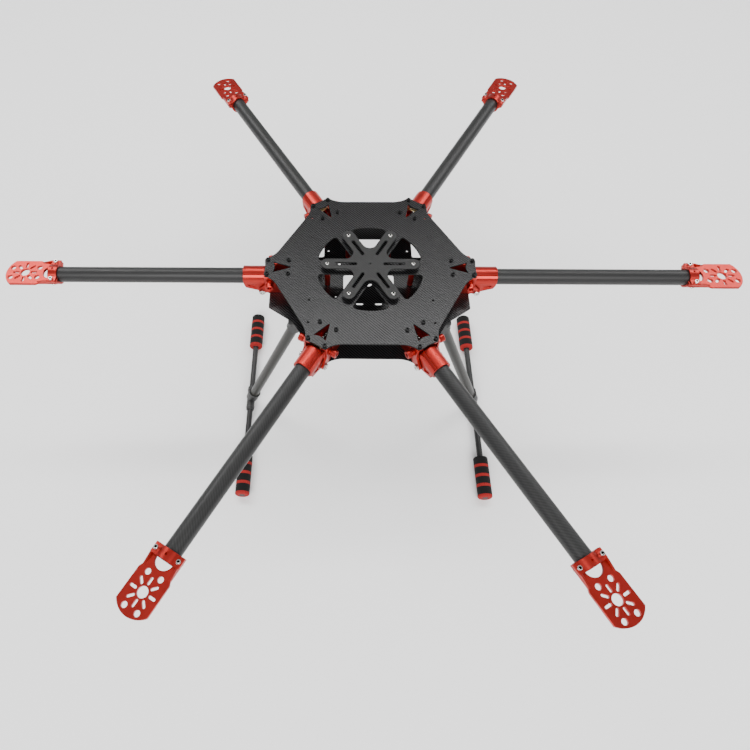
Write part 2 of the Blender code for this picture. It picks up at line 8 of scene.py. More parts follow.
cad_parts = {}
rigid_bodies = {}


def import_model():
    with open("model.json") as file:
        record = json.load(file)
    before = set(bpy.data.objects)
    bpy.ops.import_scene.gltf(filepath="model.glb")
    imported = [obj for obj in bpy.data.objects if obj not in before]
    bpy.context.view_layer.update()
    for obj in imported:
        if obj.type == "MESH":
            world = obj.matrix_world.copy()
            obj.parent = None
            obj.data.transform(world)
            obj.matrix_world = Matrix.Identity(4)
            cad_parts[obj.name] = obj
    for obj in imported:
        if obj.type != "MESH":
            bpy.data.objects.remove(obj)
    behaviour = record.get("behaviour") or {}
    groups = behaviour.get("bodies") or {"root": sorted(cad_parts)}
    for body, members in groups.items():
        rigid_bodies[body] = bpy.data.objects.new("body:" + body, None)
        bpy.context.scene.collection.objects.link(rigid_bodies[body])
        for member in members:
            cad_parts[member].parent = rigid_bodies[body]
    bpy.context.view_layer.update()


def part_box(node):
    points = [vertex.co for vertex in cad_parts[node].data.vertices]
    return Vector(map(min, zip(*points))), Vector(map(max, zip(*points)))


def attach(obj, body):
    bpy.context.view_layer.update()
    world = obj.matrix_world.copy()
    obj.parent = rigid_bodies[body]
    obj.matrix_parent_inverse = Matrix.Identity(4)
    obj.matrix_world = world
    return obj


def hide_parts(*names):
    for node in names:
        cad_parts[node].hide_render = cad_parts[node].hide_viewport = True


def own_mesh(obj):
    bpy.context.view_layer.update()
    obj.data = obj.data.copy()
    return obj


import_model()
began = time.time()

# lengths are millimetres, drawn about the tubes' axis height, and shrunk to metres when a piece is placed
arms = {"right": 0, "rear_right": 60, "rear_left": 120, "left": 180, "front_left": 240, "front_right": 300}
sides = {"right": 1, "left": -1}
tubeLow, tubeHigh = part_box("arm_tube_right")
axisHeight = (tubeLow.z + tubeHigh.z) / 2
toMetres = Matrix.Scale(0.001, 4)
whole = Matrix.Translation((0, 0, axisHeight)) @ toMetres
zToX = Matrix.Rotation(radians(90), 4, "Y")
xToY = Matrix.Rotation(radians(90), 4, "Z")
xToZ = Matrix.Rotation(radians(-90), 4, "Y")
standX = zToX @ xToY                            # XY drawing stood up across X
standY = Matrix.Rotation(radians(90), 4, "X")   # XY drawing stood up in XZ
cos30, sin30 = cos(radians(30)), sin(radians(30))


def report(words):
    print(f"{time.time() - began:6.1f} s  {words}")


def armPlace(arm):
    return move(0, 0, axisHeight) @ Matrix.Rotation(radians(arms[arm]), 4, "Z") @ toMetres


def move(x, y, z):
    return Matrix.Translation((x, y, z))


def pick(values, names):
    return [values[name] for name in names.split()]


# outlines
def arc(cx, cy, r, start, end, steps):
    turns = [radians(start + (end - start) * i / steps) for i in range(steps + 1)]
    return [(cx + r * cos(t), cy + r * sin(t)) for t in turns]


def circle(cx, cy, r, steps=28):
    return arc(cx, cy, r, 0, 360, steps)[:-1]


def turned(points, angle):
    c, s = cos(radians(angle)), sin(radians(angle))
    return [(x * c - y * s, x * s + y * c) for x, y in points]


def shifted(points, dx, dy):
    return [(x + dx, y + dy) for x, y in points]


def flipped(points):
    return [(x, -y) for x, y in reversed(points)]


def slid(profile, distance):
    return [(along + distance, *rest) for along, *rest in profile]


def rectangle(x0, y0, x1, y1):
    return [(x0, y0), (x1, y0), (x1, y1), (x0, y1)]


def bothSides(low, high):
    return (low, high), (-high, -low)


def oblong(inner, outer, half, steps=8):
    return arc(outer - half, 0, half, -90, 90, steps) + arc(inner + half, 0, half, 90, 270, steps)


def rounded(points, radius, steps=4):
    # every corner, or those with a radius of their own, gets a fillet
    radii = radius if isinstance(radius, list) else [radius] * len(points)
    out = []
    for i, corner in enumerate(points):
        if not radii[i]:
            out.append(corner)
            continue
        here = Vector(corner)
        back = (Vector(points[i - 1]) - here).normalized()
        ahead = (Vector(points[(i + 1) % len(points)]) - here).normalized()
        half = acos(max(-1.0, min(1.0, back.dot(ahead)))) / 2
        centre = here + (back + ahead).normalized() * (radii[i] / sin(half))
        start = here + back * (radii[i] / tan(half)) - centre
        end = here + ahead * (radii[i] / tan(half)) - centre
        first = degrees(atan2(start.y, start.x))
        sweep = (degrees(atan2(end.y, end.x)) - first + 180) % 360 - 180
        out += arc(centre.x, centre.y, radii[i], first, first + sweep, steps)
    return out


# solids
def newObject(name, data):
    obj = bpy.data.objects.new(name, data)
    bpy.context.scene.collection.objects.link(obj)
    return obj


def meshOf(obj):
    # the mesh that an object's modifiers leave; the object goes
    bpy.context.view_layer.update()
    mesh = bpy.data.meshes.new_from_object(obj.evaluated_get(bpy.context.evaluated_depsgraph_get()))
    bpy.data.objects.remove(obj)
    return mesh


def solidOf(obj):
    mesh = meshOf(obj)
    solid = bmesh.new()
    solid.from_mesh(mesh)
    bpy.data.meshes.remove(mesh)
    bmesh.ops.remove_doubles(solid, verts=solid.verts, dist=0.002)
    return solid


def placed(solid, place):
    bmesh.ops.transform(solid, matrix=place, verts=solid.verts)
    return solid


def plateSolid(loops, low, high, chamfer=0.25):
    # a filled outline with holes, its edges eased all round
    curve = bpy.data.curves.new("outline", "CURVE")
    curve.dimensions = "2D"
    curve.fill_mode = "BOTH"
    curve.extrude = (high - low) / 2 - chamfer
    curve.bevel_depth = chamfer
    curve.bevel_resolution = 0
    curve.offset = -chamfer
    slant = 11.3   # no two corners level with each other while the face is filled
    for loop in loops:
        spline = curve.splines.new("POLY")
        spline.points.add(len(loop) - 1)
        for point, (x, y) in zip(spline.points, turned(loop, slant)):
            point.co = (x, y, 0, 1)
        spline.use_cyclic_u = True
    back = move(0, 0, (low + high) / 2) @ Matrix.Rotation(radians(-slant), 4, "Z")
    return placed(solidOf(newObject("outline", curve)), back)


def latheSolid(profile, steps=32, closed=False):
    # a profile of (along, radius) turned about X; a third value "hex" turns a six-sided wall
    # UV holds metres round and along, so that a woven wall keeps its tow width
    solid = bmesh.new()
    wrap = max(p[1] for p in profile)
    rings = []
    for point in profile:
        along, radius = point[:2]
        ring = []
        for i in range(steps):
            angle = 2 * pi * i / steps
            reach = radius
            if len(point) > 2:
                reach = radius / cos((angle + pi / 6) % (pi / 3) - pi / 6)
            ring.append(solid.verts.new((along, reach * cos(angle), reach * sin(angle))))
            if radius == 0:
                break
        rings.append(ring)
    layer = solid.loops.layers.uv.new("UVMap")
    lengths = [0.0]
    for a, b in zip(profile, profile[1:]):
        lengths.append(lengths[-1] + sqrt((b[0] - a[0]) ** 2 + (b[1] - a[1]) ** 2))
    for a in range(len(rings) - (not closed)):
        b = (a + 1) % len(rings)
        first, second = rings[a], rings[b]
        for i in range(steps):
            n = i + 1
            corners = [(first[i % len(first)], i, a), (first[n % len(first)], n, a),
                       (second[n % len(second)], n, b), (second[i % len(second)], i, b)]
            kept = [c for j, c in enumerate(corners) if c[0] not in [d[0] for d in corners[:j]]]
            if len(kept) < 3:
                continue
            face = solid.faces.new([c[0] for c in kept])
            for loop, (_, step, ring) in zip(face.loops, kept):
                loop[layer].uv = (0.001 * wrap * 2 * pi * step / steps, 0.001 * lengths[ring])
    bmesh.ops.recalc_face_normals(solid, faces=solid.faces)
    return solid


def rodProfile(start, end, radius):
    return [(start, 0), (start, radius), (end, radius), (end, 0)]


def joinInto(target, part, place=Matrix.Identity(4)):
    mesh = bpy.data.meshes.new("part")
    placed(part, place).to_mesh(mesh)
    part.free()
    target.from_mesh(mesh)
    bpy.data.meshes.remove(mesh)


def asMesh(name, solid, sharp=32):
    bmesh.ops.recalc_face_normals(solid, faces=solid.faces)
    mesh = bpy.data.meshes.new(name)
    solid.to_mesh(mesh)
    solid.free()
    mesh.shade_smooth()
    mesh.set_sharp_from_angle(angle=radians(sharp))
    return mesh


def carved(solid, tool):
    base = newObject("base", asMesh("base", solid))
    other = newObject("tool", asMesh("tool", tool))
    modifier = base.modifiers.new("cut", "BOOLEAN")
    modifier.operation = "DIFFERENCE"
    modifier.solver = "EXACT"
    modifier.object = other
    result = solidOf(base)
    bpy.data.objects.remove(other)
    return result


def addPiece(name, mesh, material, place, body, slot, replaced=None):
    # one finished piece: its place in its mesh, its object at the origin
    mesh = mesh.copy()
    mesh.name = name
    mesh.transform(place)
    mesh.materials.clear()
    mesh.materials.append(material)
    piece = newObject(name, mesh)
    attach(piece, body)
    if replaced:
        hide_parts(replaced)
    return piece


# node helpers for the finishes and the trees
def plug(tree, socket, value):
    if isinstance(value, bpy.types.NodeSocket):
        tree.links.new(value, socket)
    elif value is not None:
        socket.default_value = value


def addNode(tree, kind, inputs=None, **settings):
    node = tree.nodes.new(kind)
    for label, value in settings.items():
        setattr(node, label, value)
    for label, value in (inputs or {}).items():
        plug(tree, node.inputs[label], value)
    return node


def calc(tree, operation, *values):
    return addNode(tree, "ShaderNodeMath", dict(enumerate(values)), operation=operation).outputs[0]


def blendColour(tree, factor, first, second):
    # colours given as three numbers get their fourth here
    first, second = ((*c, 1) if isinstance(c, tuple) else c for c in (first, second))
    return addNode(tree, "ShaderNodeMix", {0: factor, 6: first, 7: second}, data_type="RGBA").outputs[2]


def spread(tree, value, low, high):
    return addNode(tree, "ShaderNodeMapRange", {"Value": value, "To Min": low, "To Max": high}).outputs["Result"]


def addInputs(tree, inputs, kinds={}):
    # numbers, unless another kind is given
    for label, default in inputs.items():
        kind = kinds.get(label, "Float")
        plug(tree, tree.interface.new_socket(label, in_out="INPUT", socket_type="NodeSocket" + kind), default)


def effectGroup(name, inputs, outputs):
    tree = bpy.data.node_groups.new(name, "ShaderNodeTree")
    addInputs(tree, inputs, {"Vector": "Vector"})
    for label in outputs:
        tree.interface.new_socket(label, in_out="OUTPUT", socket_type="NodeSocketFloat")
    return tree, tree.nodes.new("NodeGroupInput").outputs, tree.nodes.new("NodeGroupOutput").inputs


def twillWeaveGroup():
    # two-over-two twill: which tow lies on top, its crown, and a tone of its own for each tow
    tree, given, made = effectGroup("twillWeave", {"Vector": None, "Tow Width": 0.0015}, ["Warp", "Crown", "Tone"])
    split = addNode(tree, "ShaderNodeSeparateXYZ", {0: given["Vector"]}).outputs
    across, along = (calc(tree, "DIVIDE", split[axis], given["Tow Width"]) for axis in "XY")
    column, row = (calc(tree, "FLOOR", value) for value in (across, along))
    phase = calc(tree, "FLOORED_MODULO", calc(tree, "ADD", column, row), 4.0)
    warp = calc(tree, "LESS_THAN", phase, 1.5)
    warpCrown, weftCrown, dip = (calc(tree, "SINE", calc(tree, "MULTIPLY", calc(tree, "FRACT", value), pi))
                                 for value in (across, along, calc(tree, "MULTIPLY", phase, 0.5)))
    crown = calc(tree, "MULTIPLY_ADD", warp, calc(tree, "SUBTRACT", warpCrown, weftCrown), weftCrown)
    crown = calc(tree, "MULTIPLY_ADD", dip, 0.15, crown)
    chosen = calc(tree, "MULTIPLY_ADD", warp, calc(tree, "SUBTRACT", column, row), row)
    pair = addNode(tree, "ShaderNodeCombineXYZ", {0: chosen, 1: warp})
    noise = addNode(tree, "ShaderNodeTexWhiteNoise", {"Vector": pair.outputs[0]}, noise_dimensions="2D")
    for label, value in (("Warp", warp), ("Crown", crown), ("Tone", noise.outputs["Value"])):
        plug(tree, made[label], value)
    return tree


def edgeHighlightAndWearGroup():
    # broad smudges, fine grain, and edges lightened partly as rubbed wear and partly as a painted edge highlight
    tree, given, made = effectGroup("handling", {"Vector": None, "Smudge Scale": 25.0, "Grain Scale": 900.0},
                                    ["Smudge", "Grain", "EdgeWearHighlight"])
    for label, detail in (("Smudge", 3.0), ("Grain", 2.0)):
        noise = addNode(tree, "ShaderNodeTexNoise", {
            "Detail": detail, "Vector": given["Vector"], "Scale": given[f"{label} Scale"]})
        plug(tree, made[label], noise.outputs["Fac"])
    # pointiness picks out the edges: they are lightened partly as rubbed wear and partly as a painted highlight along
    # them
    edges = addNode(tree, "ShaderNodeNewGeometry").outputs["Pointiness"]
    ramp = addNode(tree, "ShaderNodeMapRange", {"From Min": 0.54, "From Max": 0.66, "Value": edges})
    plug(tree, made["EdgeWearHighlight"], ramp.outputs["Result"])
    return tree


twillWeave = twillWeaveGroup()
handling = edgeHighlightAndWearGroup()


def grey(value):
    return (value,) * 3


def startMaterial(name, constants, smudge, grain=900.0):
    material = bpy.data.materials.new(name)
    material.use_nodes = True
    tree = material.node_tree
    shader = tree.nodes["Principled BSDF"]
    for label, value in constants.items():
        shader.inputs[label].default_value = value
    coordinates = addNode(tree, "ShaderNodeTexCoord").outputs
    given = {"Vector": coordinates["Object"], "Smudge Scale": smudge, "Grain Scale": grain}
    wearAndEdgeHighlight = addNode(tree, "ShaderNodeGroup", given, node_tree=handling).outputs
    return material, tree, shader, wearAndEdgeHighlight, coordinates


def surface(tree, shader, colour, rough, height, distance, strength):
    bump = addNode(tree, "ShaderNodeBump", {"Distance": distance, "Strength": strength, "Height": height})
    for label, value in (("Base Color", colour), ("Roughness", rough), ("Normal", bump.outputs["Normal"])):
        plug(tree, shader.inputs[label], value)


def carbonMaterial(name, look, wrapped):
    material, tree, shader, wearAndEdgeHighlight, coordinates = startMaterial(name, {
        "Coat Roughness": look["coatRoughness"], "Coat Weight": look["coat"],
        "Specular IOR Level": look["specular"]}, 9.0)
    source = coordinates["UV" if wrapped else "Object"]
    given = {"Vector": source, "Tow Width": look["tow"]}
    weave = addNode(tree, "ShaderNodeGroup", given, node_tree=twillWeave).outputs
    # the warp tows take a lighter colour than the weft: a painted sheen for tows of one direction catching more light
    tows = blendColour(tree, weave["Warp"], look["weft"], look["warp"])
    toned = blendColour(tree, calc(tree, "MULTIPLY", weave["Tone"], 0.35), tows, look["seam"])
    gloss = calc(tree, "MULTIPLY_ADD", weave["Warp"], look["towGloss"], look["roughness"])
    gloss = calc(tree, "ADD", gloss, spread(tree, wearAndEdgeHighlight["Smudge"], -0.05, 0.07))
    if not wrapped:
        # sawn edges are matt, with the layers showing
        facing, place = (addNode(tree, "ShaderNodeSeparateXYZ", {0: coordinates[kind]}).outputs["Z"]
                         for kind in ("Normal", "Object"))
        sawn = calc(tree, "LESS_THAN", calc(tree, "ABSOLUTE", facing), 0.8)
        layers = calc(tree, "SINE", calc(tree, "MULTIPLY", place, 2 * pi / look["layer"]))
        bands = blendColour(tree, spread(tree, layers, 0.3, 0.7), grey(0.002), grey(0.009))
        toned = blendColour(tree, sawn, toned, bands)
        gloss = calc(tree, "MAXIMUM", gloss, calc(tree, "MULTIPLY", sawn, 0.75))
    surface(tree, shader, toned, gloss, weave["Crown"], look["relief"], 0.35)
    return material


def metalMaterial(name, look):
    material, tree, shader, wearAndEdgeHighlight, _ = startMaterial(name, {
        "Metallic": look["metallic"], "Coat Weight": look["coat"], "Coat Roughness": 0.12}, 60.0, look["grainScale"])
    tone = blendColour(tree, wearAndEdgeHighlight["Smudge"], look["deep"], look["colour"])
    # edges lightened towards the edge colour: rubbed wear and a painted edge highlight
    edged = blendColour(tree, calc(tree, "MULTIPLY", wearAndEdgeHighlight["EdgeWearHighlight"], look["edgeWearHighlightAmount"]), tone, look["edgeWearHighlightColour"])
    # painted shade: faces marked inside screw sockets are darkened to near black
    paintedSocketShade = addNode(tree, "ShaderNodeAttribute", attribute_name="paintedSocketShade").outputs["Fac"]
    smudged = spread(tree, wearAndEdgeHighlight["Smudge"], look["roughness"] - 0.06, look["roughness"] + 0.05)
    rough = calc(tree, "ADD", smudged, spread(tree, wearAndEdgeHighlight["Grain"], -0.03, 0.03))
    surface(tree, shader, blendColour(tree, paintedSocketShade, edged, grey(0.01)), rough, wearAndEdgeHighlight["Grain"], 0.00002, 0.25)
    return material


def foamMaterial(name, look):
    material, tree, shader, wearAndEdgeHighlight, coordinates = startMaterial(name, {
        "Sheen Weight": 0.04, "Sheen Roughness": 0.5, "Specular IOR Level": 0.2}, 40.0, 1500.0)
    cells = addNode(tree, "ShaderNodeTexVoronoi", {"Scale": look["cells"], "Vector": coordinates["Object"]})
    tone = blendColour(tree, spread(tree, cells.outputs["Distance"], 0.0, 1.0), look["colour"], look["pit"])
    height = calc(tree, "MULTIPLY_ADD", wearAndEdgeHighlight["Grain"], 0.6, cells.outputs["Distance"])
    surface(tree, shader, tone, spread(tree, wearAndEdgeHighlight["Smudge"], 0.82, 0.95), height, 0.0003, 0.5)
    return material


def plasticMaterial(name, look):
    material, tree, shader, wearAndEdgeHighlight, _ = startMaterial(name, {"Specular IOR Level": 0.45}, 35.0, 1400.0)
    tone = blendColour(tree, wearAndEdgeHighlight["Smudge"], look["deep"], look["colour"])
    # edges lightened towards grey: rubbed wear and a painted edge highlight
    edged = blendColour(tree, calc(tree, "MULTIPLY", wearAndEdgeHighlight["EdgeWearHighlight"], 0.4), tone, grey(0.10))
    surface(tree, shader, edged, spread(tree, wearAndEdgeHighlight["Smudge"], 0.42, 0.58), wearAndEdgeHighlight["Grain"], 0.00008, 0.4)
    return material


carbonLook = {"tow": 0.0011, "coat": 0.1, "layer": 0.0004, "relief": 0.00012}
# each warp colour is lighter than its weft: painted sheen of the weave
carbonSheet = carbonMaterial("carbonSheet", {
    **carbonLook, "warp": (0.011, 0.011, 0.012), "weft": grey(0.004), "seam": grey(0.002), "roughness": 0.22,
    "towGloss": 0.10, "coatRoughness": 0.22, "specular": 0.24}, False)
carbonStar = carbonMaterial("carbonStar", {
    **carbonLook, "warp": grey(0.014), "weft": grey(0.007), "seam": grey(0.005), "roughness": 0.46,
    "towGloss": 0.08, "coatRoughness": 0.35, "specular": 0.3}, False)
carbonTube = carbonMaterial("carbonTube", {
    **carbonLook, "warp": grey(0.016), "weft": grey(0.007), "seam": grey(0.005), "roughness": 0.42,
    "towGloss": 0.07, "coatRoughness": 0.35, "specular": 0.34}, True)
carbonLeg = carbonMaterial("carbonLeg", {
    **carbonLook, "tow": 0.0012, "warp": (0.020, 0.019, 0.016), "weft": (0.013, 0.0125, 0.0105),
    "seam": (0.008, 0.008, 0.007), "roughness": 0.36, "towGloss": 0.04, "coatRoughness": 0.3, "specular": 0.32,
    "relief": 0.00006}, True)
bareLook = {"metallic": 1.0, "coat": 0.0, "edgeWearHighlightAmount": 0.3, "grainScale": 1800.0}
redAnodised = metalMaterial("redAnodised", {
    "colour": (0.42, 0.026, 0.020), "deep": (0.34, 0.018, 0.014), "edgeWearHighlightColour": (0.66, 0.12, 0.09), "metallic": 0.90,
    "roughness": 0.36, "coat": 0.08, "edgeWearHighlightAmount": 0.15, "grainScale": 1600.0})
polishedBrass = metalMaterial("polishedBrass", {
    **bareLook, "colour": (0.80, 0.62, 0.33), "deep": (0.70, 0.52, 0.26), "edgeWearHighlightColour": (0.90, 0.76, 0.48),
    "roughness": 0.22})
brightSteel = metalMaterial("brightSteel", {
    **bareLook, "colour": (0.68, 0.67, 0.64), "deep": (0.58, 0.57, 0.55), "edgeWearHighlightColour": (0.85, 0.85, 0.83),
    "roughness": 0.26})
blackOxide = metalMaterial("blackOxide", {
    **bareLook, "colour": (0.010, 0.010, 0.011), "deep": grey(0.006), "edgeWearHighlightColour": grey(0.08), "metallic": 0.85,
    "roughness": 0.36, "coat": 0.05, "edgeWearHighlightAmount": 0.2})
blackNylon = plasticMaterial("blackNylon", {"colour": grey(0.014), "deep": grey(0.009)})
blackFoam = foamMaterial("blackFoam", {"colour": grey(0.009), "pit": grey(0.004), "cells": 900.0})
redFoam = foamMaterial("redFoam", {"colour": (0.36, 0.020, 0.018), "pit": (0.20, 0.010, 0.009), "cells": 900.0})
report("finishes")


# geometry node trees for what repeats
def pieceTree(name, inputs, kinds={}):
    tree = bpy.data.node_groups.new(name, "GeometryNodeTree")
    tree.interface.new_socket("Geometry", in_out="OUTPUT", socket_type="NodeSocketGeometry")
    kinds = {"Geometry": "Geometry", "Finish": "Material", **kinds}
    addInputs(tree, {"Geometry": None, **inputs, "Finish": None}, kinds)
    return tree, tree.nodes.new("NodeGroupInput").outputs


def closedTree(tree, given, geometry):
    solid = addNode(tree, "GeometryNodeRealizeInstances", {"Geometry": geometry})
    painted = addNode(tree, "GeometryNodeSetMaterial", {"Geometry": solid.outputs[0], "Material": given["Finish"]})
    plug(tree, tree.nodes.new("NodeGroupOutput").inputs[0], painted.outputs[0])
    return tree


def setOnPointsTree():
    # one part set on each point, its Z along the point's axis, with its own spin
    tree, given = pieceTree("setOnPoints", {"Part": None, "Spin": 360.0, "Seed": 7}, {"Part": "Object", "Seed": "Int"})
    part = addNode(tree, "GeometryNodeObjectInfo", {"Object": given["Part"]}, transform_space="ORIGINAL")
    axis = addNode(tree, "GeometryNodeInputNamedAttribute", {"Name": "partAxis"}, data_type="FLOAT_VECTOR")
    stand = addNode(tree, "FunctionNodeAlignRotationToVector", {"Vector": axis.outputs["Attribute"]}, axis="Z")
    chance = addNode(tree, "FunctionNodeRandomValue", {"Seed": given["Seed"]}, data_type="FLOAT")
    spin = calc(tree, "RADIANS", calc(tree, "MULTIPLY", chance.outputs[1], given["Spin"]))
    turn = addNode(tree, "ShaderNodeCombineXYZ", {"Z": spin})
    turn = addNode(tree, "FunctionNodeEulerToRotation", {"Euler": turn.outputs[0]})
    rotation = addNode(tree, "FunctionNodeRotateRotation", {
        "Rotation": stand.outputs[0], "Rotate By": turn.outputs[0]}, rotation_space="LOCAL")
    spots = addNode(tree, "GeometryNodeInstanceOnPoints", {
        "Points": given["Geometry"], "Rotation": rotation.outputs[0], "Instance": part.outputs["Geometry"]})
    return closedTree(tree, given, spots.outputs[0])


def coilSpringTree():
    tree, given = pieceTree("coilSpring", {"Length": 27.0, "Coil Radius": 2.3, "Wire Radius": 0.35, "Turns": 14.0})
    path = addNode(tree, "GeometryNodeCurveSpiral", {
        "Resolution": 24, "Rotations": given["Turns"], "Height": given["Length"],
        "Start Radius": given["Coil Radius"], "End Radius": given["Coil Radius"]})
    section = addNode(tree, "GeometryNodeCurvePrimitiveCircle", {"Resolution": 8, "Radius": given["Wire Radius"]})
    wire = addNode(tree, "GeometryNodeCurveToMesh", {
        "Curve": path.outputs[0], "Profile Curve": section.outputs[0], "Fill Caps": True})
    return closedTree(tree, given, wire.outputs[0])


def bandRowTree():
    # the same band again and again along Y
    tree, given = pieceTree("bandRow", {"Band": None, "Count": 3, "Start": None, "Pitch": 17.0},
                            {"Band": "Object", "Count": "Int", "Start": "Vector"})
    step = addNode(tree, "ShaderNodeCombineXYZ", {"Y": given["Pitch"]})
    line = addNode(tree, "GeometryNodeMeshLine", {
        "Count": given["Count"], "Start Location": given["Start"], "Offset": step.outputs[0]})
    band = addNode(tree, "GeometryNodeObjectInfo", {"Object": given["Band"]}, transform_space="ORIGINAL")
    spots = addNode(tree, "GeometryNodeInstanceOnPoints", {
        "Points": line.outputs[0], "Instance": band.outputs["Geometry"]})
    return closedTree(tree, given, spots.outputs[0])


setOnPoints = setOnPointsTree()
coilSpring = coilSpringTree()
bandRow = bandRowTree()


def grown(tree, values, base=None):
    # the tree's result as a plain mesh
    obj = newObject("seed", base or bpy.data.meshes.new("seed"))
    modifier = obj.modifiers.new(tree.name, "NODES")
    modifier.node_group = tree
    for item in tree.interface.items_tree:
        if item.in_out == "INPUT" and item.name in values:
            modifier[item.identifier] = values[item.name]
    return meshOf(obj)


def library(name, mesh):
    # a part that the trees set in place; it is removed at the end
    part = newObject(name, mesh)
    part.hide_render = True
    return part


def pointsMesh(places):
    # places are (position, axis)
    mesh = bpy.data.meshes.new("points")
    mesh.from_pydata([position for position, axis in places], [], [])
    layer = mesh.attributes.new("partAxis", "FLOAT_VECTOR", "POINT")
    for entry, (position, axis) in zip(layer.data, places):
        entry.vector = axis
    return mesh


def setParts(name, part, places, finish, place, body, slot):
    mesh = grown(setOnPoints, {"Part": part, "Finish": finish}, pointsMesh(places))
    addPiece(name, mesh, finish, place, body, slot)


# fasteners, drawn with their seat at z = 0 and their head up
def markPaintedSocketShade(mesh, reach, above):
    # marks what lies inside a socket, where the finish paints shade: those faces are darkened to near black
    layer = mesh.attributes.new("paintedSocketShade", "FLOAT", "FACE")
    for face in mesh.polygons:
        x, y, z = face.center
        layer.data[face.index].value = float(z > above and sqrt(x * x + y * y) < reach)
    return mesh


def capScrewMesh(width, height, socket):
    r = width / 2
    profile = [(-0.01, 0), (-0.01, r - 0.3), (0, r), (height - 0.35, r), (height, r - 0.35), (height, socket * 0.64),
               (height - 0.15, socket / 2, "hex"), (height * 0.45, socket / 2, "hex"), (height * 0.40, 0)]
    return markPaintedSocketShade(asMesh("capScrew", placed(latheSolid(profile, 24), xToZ)), socket * 0.6, 0.5)


def buttonScrewMesh(width, height, socket):
    r = width / 2
    dome = [(height * sin(radians(a)), r * cos(radians(a)) ** 0.85) for a in (4, 20, 36, 52, 66)]
    profile = [(0, r * 0.98), *dome, (height * 0.93, socket / 2 + 0.05), (height * 0.9, socket / 2, "hex"),
               (height * 0.25, socket / 2, "hex"), (height * 0.2, 0)]
    return markPaintedSocketShade(asMesh("buttonScrew", placed(latheSolid(profile, 24), xToZ)), socket * 0.56, 0.1)


def nutMesh(width, height, bore):
    profile = [(0, bore), (0, width / 2 - 0.2, "hex"), (0.25, width / 2, "hex"), (height - 0.25, width / 2, "hex"),
               (height, width / 2 - 0.2, "hex"), (height, bore)]
    return asMesh("nut", placed(latheSolid(profile, 24, closed=True), xToZ), 20)


def columnMesh(length, width, foot):
    r = width / 2
    profile = [(0, 0), (0, foot), (1.2, foot), (1.5, r - 0.2), (2.2, r), (length - 2.2, r), (length - 1.5, r - 0.2),
               (length - 1.2, foot), (length, foot), (length, 0)]
    return asMesh("column", placed(latheSolid(profile, 32), xToZ))


# width, height and hole
fasteners = {"capScrew": (5.5, 3.0, 2.5), "buttonScrew": (6.2, 1.9, 2.5), "nut": (5.5, 2.4, 1.5)}
capScrew = library("capScrewPart", capScrewMesh(*fasteners["capScrew"]))
buttonScrew = library("buttonScrewPart", buttonScrewMesh(*fasteners["buttonScrew"]))
hexNut = library("hexNutPart", nutMesh(*fasteners["nut"]))
report("trees and fasteners")


# decks
deckSizes = {
    "thickness": 2.0, "halfGap": 17.0, "sideApothem": 128.0, "tabEnd": 148.8, "tabHalf": 16.7, "earRadius": 4.3,
    "flareTurn": 35.0, "tabDish": 1.0, "spokeHalf": 12.5, "windowRadius": 75.0, "windowCorner": 4.5,
    "arrowTip": 109.5, "arrowBack": 137.3, "arrowHalf": 9.4, "arrowDish": 3.1, "wingX": 143.5, "wingY": 45.0,
    "wingSlope": 146.3, "seatScrewIn": 115.0, "seatScrewOut": 144.5, "seatScrewY": 12.5, "smallHole": 1.7,
}


def tabHalf(sizes):
    end, half, r, turn = pick(sizes, "tabEnd tabHalf earRadius flareTurn")
    leave = 30 + turn
    ear = arc(end - r, half - r, r, 0, leave, 6)
    endX, endY = ear[-1]
    flare = (endX * cos30 + endY * sin30 - sizes["sideApothem"]) / (1 - cos(radians(turn)))
    cx = endX + flare * cos(radians(leave))
    cy = endY + flare * sin(radians(leave))
    return [(end - sizes["tabDish"], 0)] + ear + arc(cx, cy, flare, 180 + leave, 210, 12)[1:]


def wingHalf(sizes):
    end, half, r, x, y = pick(sizes, "tabEnd tabHalf earRadius wingX wingY")
    slope = radians(sizes["wingSlope"])
    run = (x * cos30 + y * sin30 - sizes["sideApothem"]) / -(cos(slope) * cos30 + sin(slope) * sin30)
    foot = (x + run * cos(slope), y + run * sin(slope))
    ear = arc(end - r, half - r, r, 0, 90, 6)
    corner = arc(x - 2.5, y - 2.3, 2.5, 0, 56, 4)
    return [(end - sizes["tabDish"], 0)] + ear + [(x, half)] + corner + [foot]


def deckOutline(sizes, winged):
    points = []
    for angle in arms.values():
        half = wingHalf(sizes) if winged and not angle % 180 else tabHalf(sizes)
        points += turned(flipped(half)[:-1] + half, angle)
    return points


def sectorWindow(sizes):
    r, spoke, corner = pick(sizes, "windowRadius spokeHalf windowCorner")
    x = spoke * sin30 + sqrt(r ** 2 - spoke ** 2) * cos30
    y = sqrt(r ** 2 - x ** 2)
    halfTurn = degrees(acos(x / r))
    rim = arc(0, 0, r, -halfTurn + 5, halfTurn - 5, 14)
    radii = [corner * 0.7, corner] + [0] * len(rim) + [corner]
    return rounded([(spoke / sin30, 0), (x, -y)] + rim + [(x, y)], radii, 6)


def arrowWindow(sizes):
    half, dish, backX = pick(sizes, "arrowHalf arrowDish arrowBack")
    r = (half ** 2 + dish ** 2) / (2 * dish)
    turn = degrees(acos((r - dish) / r))
    back = arc(backX + r - dish, 0, r, 180 + turn, 180 - turn, 10)
    return rounded([(sizes["arrowTip"], 0)] + back, [0.9, 0.6] + [0] * (len(back) - 2) + [0.6], 4)


def onEveryArm(loops):
    return [turned(loop, angle) for angle in arms.values() for loop in loops]


def mirroredHoles(points):
    return [circle(side * x, y, r, 14) for x, y, r in points for side in (1, -1)]


